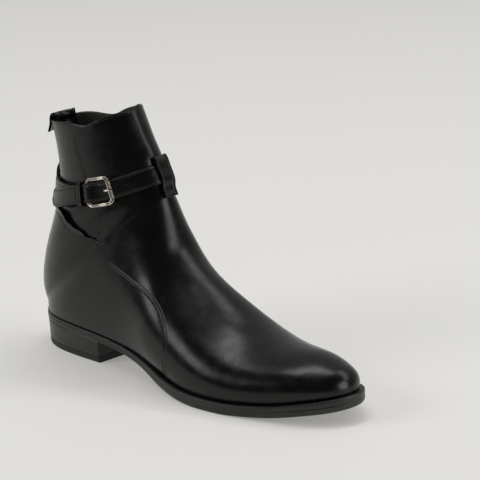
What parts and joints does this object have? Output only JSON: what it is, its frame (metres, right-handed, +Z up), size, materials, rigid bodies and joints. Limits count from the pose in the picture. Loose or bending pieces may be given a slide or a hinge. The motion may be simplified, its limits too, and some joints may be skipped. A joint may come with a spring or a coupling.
{
  "type": "jodhpur boot",
  "caption": "Right jodhpur boot in plain polished black calf: vamp over the quarter, ankle strap with a side buckle, front and back loops, pull loop, leather sole and stacked heel.",
  "frame": {"origin": "middle of the top lift's flat underside, on the floor under the heel", "axes": "+X along the boot to the toe, +Y to the boot's inner side, +Z up"},
  "size_m": [0.3095, 0.0991, 0.1989],
  "materials": {
    "black_calf": "polished smooth calf",
    "sole_leather": "dyed and waxed edge",
    "lift_rubber": "matt",
    "insole_leather": "plain lining leather",
    "buckle_metal": "polished nickel plate"
  },
  "bodies": {
    "root": {"outsole": "sole_leather", "welt": "sole_leather", "insole": "insole_leather", "heel_block": "sole_leather", "top_lift": "lift_rubber", "upper": "black_calf", "quarter": "black_calf", "ankle_strap": "black_calf", "strap_keeper": "black_calf", "buckle_frame": "buckle_metal", "buckle_prong": "buckle_metal", "front_loop": "black_calf", "back_loop": "black_calf", "pull_loop": "black_calf"}
  },
  "joints": []
}
